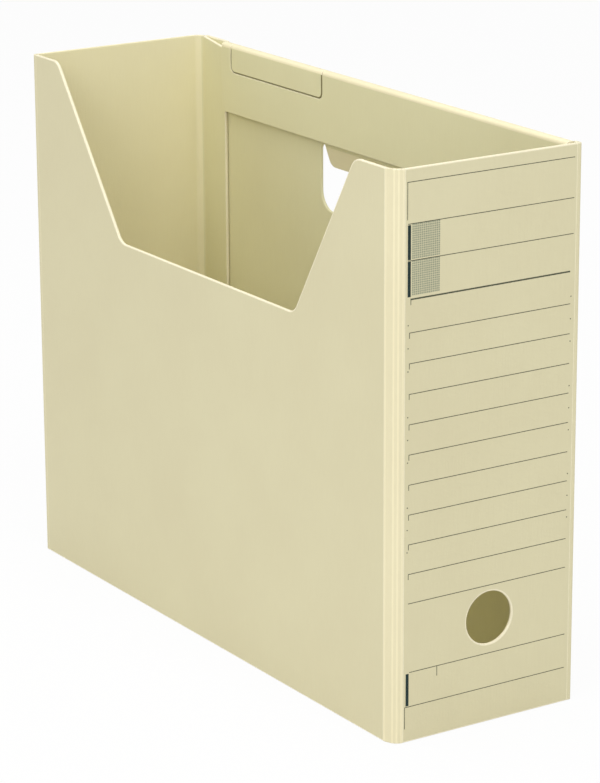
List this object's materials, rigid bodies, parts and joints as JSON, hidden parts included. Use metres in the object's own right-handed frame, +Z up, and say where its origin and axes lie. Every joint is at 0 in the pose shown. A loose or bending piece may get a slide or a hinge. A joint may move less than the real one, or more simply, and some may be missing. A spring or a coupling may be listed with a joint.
{
  "type": "file box",
  "caption": "Fold-flat paperboard file box with a notched side, ruled spine with a finger hole, folded rim with a lift-up tab, and a hand hole.",
  "frame": {"origin": "middle of the base of the whole part's bounding box, on the surface it stands on", "axes": "+Z up; -Y out of the spine with the ruled label; -X out of the notched near side; +X out of the far side with the hand hole"},
  "size_m": [0.1036, 0.318, 0.262],
  "materials": {
    "board": "coated cream paperboard, satin, faint mottle",
    "board_inside": "cream paperboard, the inner faces, matt",
    "crease_board": "cream paperboard stretched and lightened along its creases"
  },
  "bodies": {
    "far_side": {"far_side_panel": "board_inside", "rim_fold_strip": "crease_board", "rim_flap": "board_inside", "glue_flap": "board_inside"},
    "spine": {"spine_panel": "board"},
    "front_strip_3": {"front_corner_strip_3": "crease_board"},
    "front_strip_2": {"front_corner_strip_2": "crease_board"},
    "front_strip_1": {"front_corner_strip_1": "crease_board"},
    "near_side": {"near_side_panel": "board"},
    "rear_strip": {"rear_corner_strip": "crease_board"},
    "back": {"back_panel": "board"},
    "bottom_outer": {"bottom_outer_panel": "board_inside"},
    "bottom_inner": {"bottom_inner_flap": "board_inside"},
    "front_end": {"front_end_flap": "board_inside"},
    "rear_end": {"rear_end_flap": "board_inside"},
    "index_tab": {"index_tab": "board_inside"},
    "tongue": {"hand_hole_tongue": "board_inside"}
  },
  "joints": [
    {"name": "flat_fold", "type": "hinge", "parent": "far_side", "child": "spine", "pos_m": [0.04819, -0.159, 0.131], "axis": [0, 0, 1], "range_deg": [0, 85]},
    {"name": "near_side_turn", "type": "hinge", "parent": "spine", "child": "near_side", "pos_m": [-0.04777, -0.15525, 0.131], "axis": [0, 0, 1], "range_deg": [-85, 0]},
    {"name": "front_crease_4", "type": "hinge", "parent": "spine", "child": "front_strip_3", "pos_m": [-0.04648, -0.1575, 0.131], "axis": [0, 0, 1], "range_deg": [-21.25, 0]},
    {"name": "front_crease_3", "type": "hinge", "parent": "front_strip_3", "child": "front_strip_2", "pos_m": [-0.04787, -0.15693, 0.131], "axis": [0, 0, 1], "range_deg": [-21.25, 0]},
    {"name": "front_crease_2", "type": "hinge", "parent": "front_strip_2", "child": "front_strip_1", "pos_m": [-0.04893, -0.15586, 0.131], "axis": [0, 0, 1], "range_deg": [-21.25, 0]},
    {"name": "rear_crease_1", "type": "hinge", "parent": "far_side", "child": "rear_strip", "pos_m": [0.04489, 0.15491, 0.131], "axis": [0, 0, 1], "range_deg": [0, 42.5]},
    {"name": "rear_crease_2", "type": "hinge", "parent": "rear_strip", "child": "back", "pos_m": [0.04231, 0.1575, 0.131], "axis": [0, 0, 1], "range_deg": [0, 42.5]},
    {"name": "bottom_outer_crease", "type": "hinge", "parent": "far_side", "child": "bottom_outer", "pos_m": [0.04819, 0, 0], "axis": [0, -1, 0], "range_deg": [0, 90.01]},
    {"name": "bottom_inner_crease", "type": "hinge", "parent": "near_side", "child": "bottom_inner", "pos_m": [-0.05001, 0, 0.0018], "axis": [0, 1, 0], "range_deg": [0, 90.01]},
    {"name": "front_end_crease", "type": "hinge", "parent": "spine", "child": "front_end", "pos_m": [0, -0.1572, 0.0036], "axis": [-1, 0, 0], "range_deg": [0, 90.01]},
    {"name": "rear_end_crease", "type": "hinge", "parent": "back", "child": "rear_end", "pos_m": [0, 0.1572, 0.0036], "axis": [1, 0, 0], "range_deg": [0, 90.01]},
    {"name": "index_tab_crease", "type": "hinge", "parent": "far_side", "child": "index_tab", "pos_m": [0.04309, 0.08275, 0.2602], "axis": [0, 1, 0], "range_deg": [0, 175]},
    {"name": "tongue_crease", "type": "hinge", "parent": "far_side", "child": "tongue", "pos_m": [0.04819, 0, 0.2245], "axis": [0, -1, 0], "range_deg": [-18, 132]}
  ],
  "couplings": [
    {"joint": "near_side_turn", "follows": "flat_fold", "ratio": -1},
    {"joint": "front_crease_4", "follows": "flat_fold", "ratio": -0.25},
    {"joint": "front_crease_3", "follows": "flat_fold", "ratio": -0.25},
    {"joint": "front_crease_2", "follows": "flat_fold", "ratio": -0.25},
    {"joint": "rear_crease_1", "follows": "flat_fold", "ratio": 0.5},
    {"joint": "rear_crease_2", "follows": "flat_fold", "ratio": 0.5},
    {"joint": "bottom_outer_crease", "follows": "flat_fold", "ratio": 1.0588},
    {"joint": "bottom_inner_crease", "follows": "flat_fold", "ratio": 1.0588},
    {"joint": "front_end_crease", "follows": "flat_fold", "ratio": 1.0588},
    {"joint": "rear_end_crease", "follows": "flat_fold", "ratio": 1.0588}
  ]
}
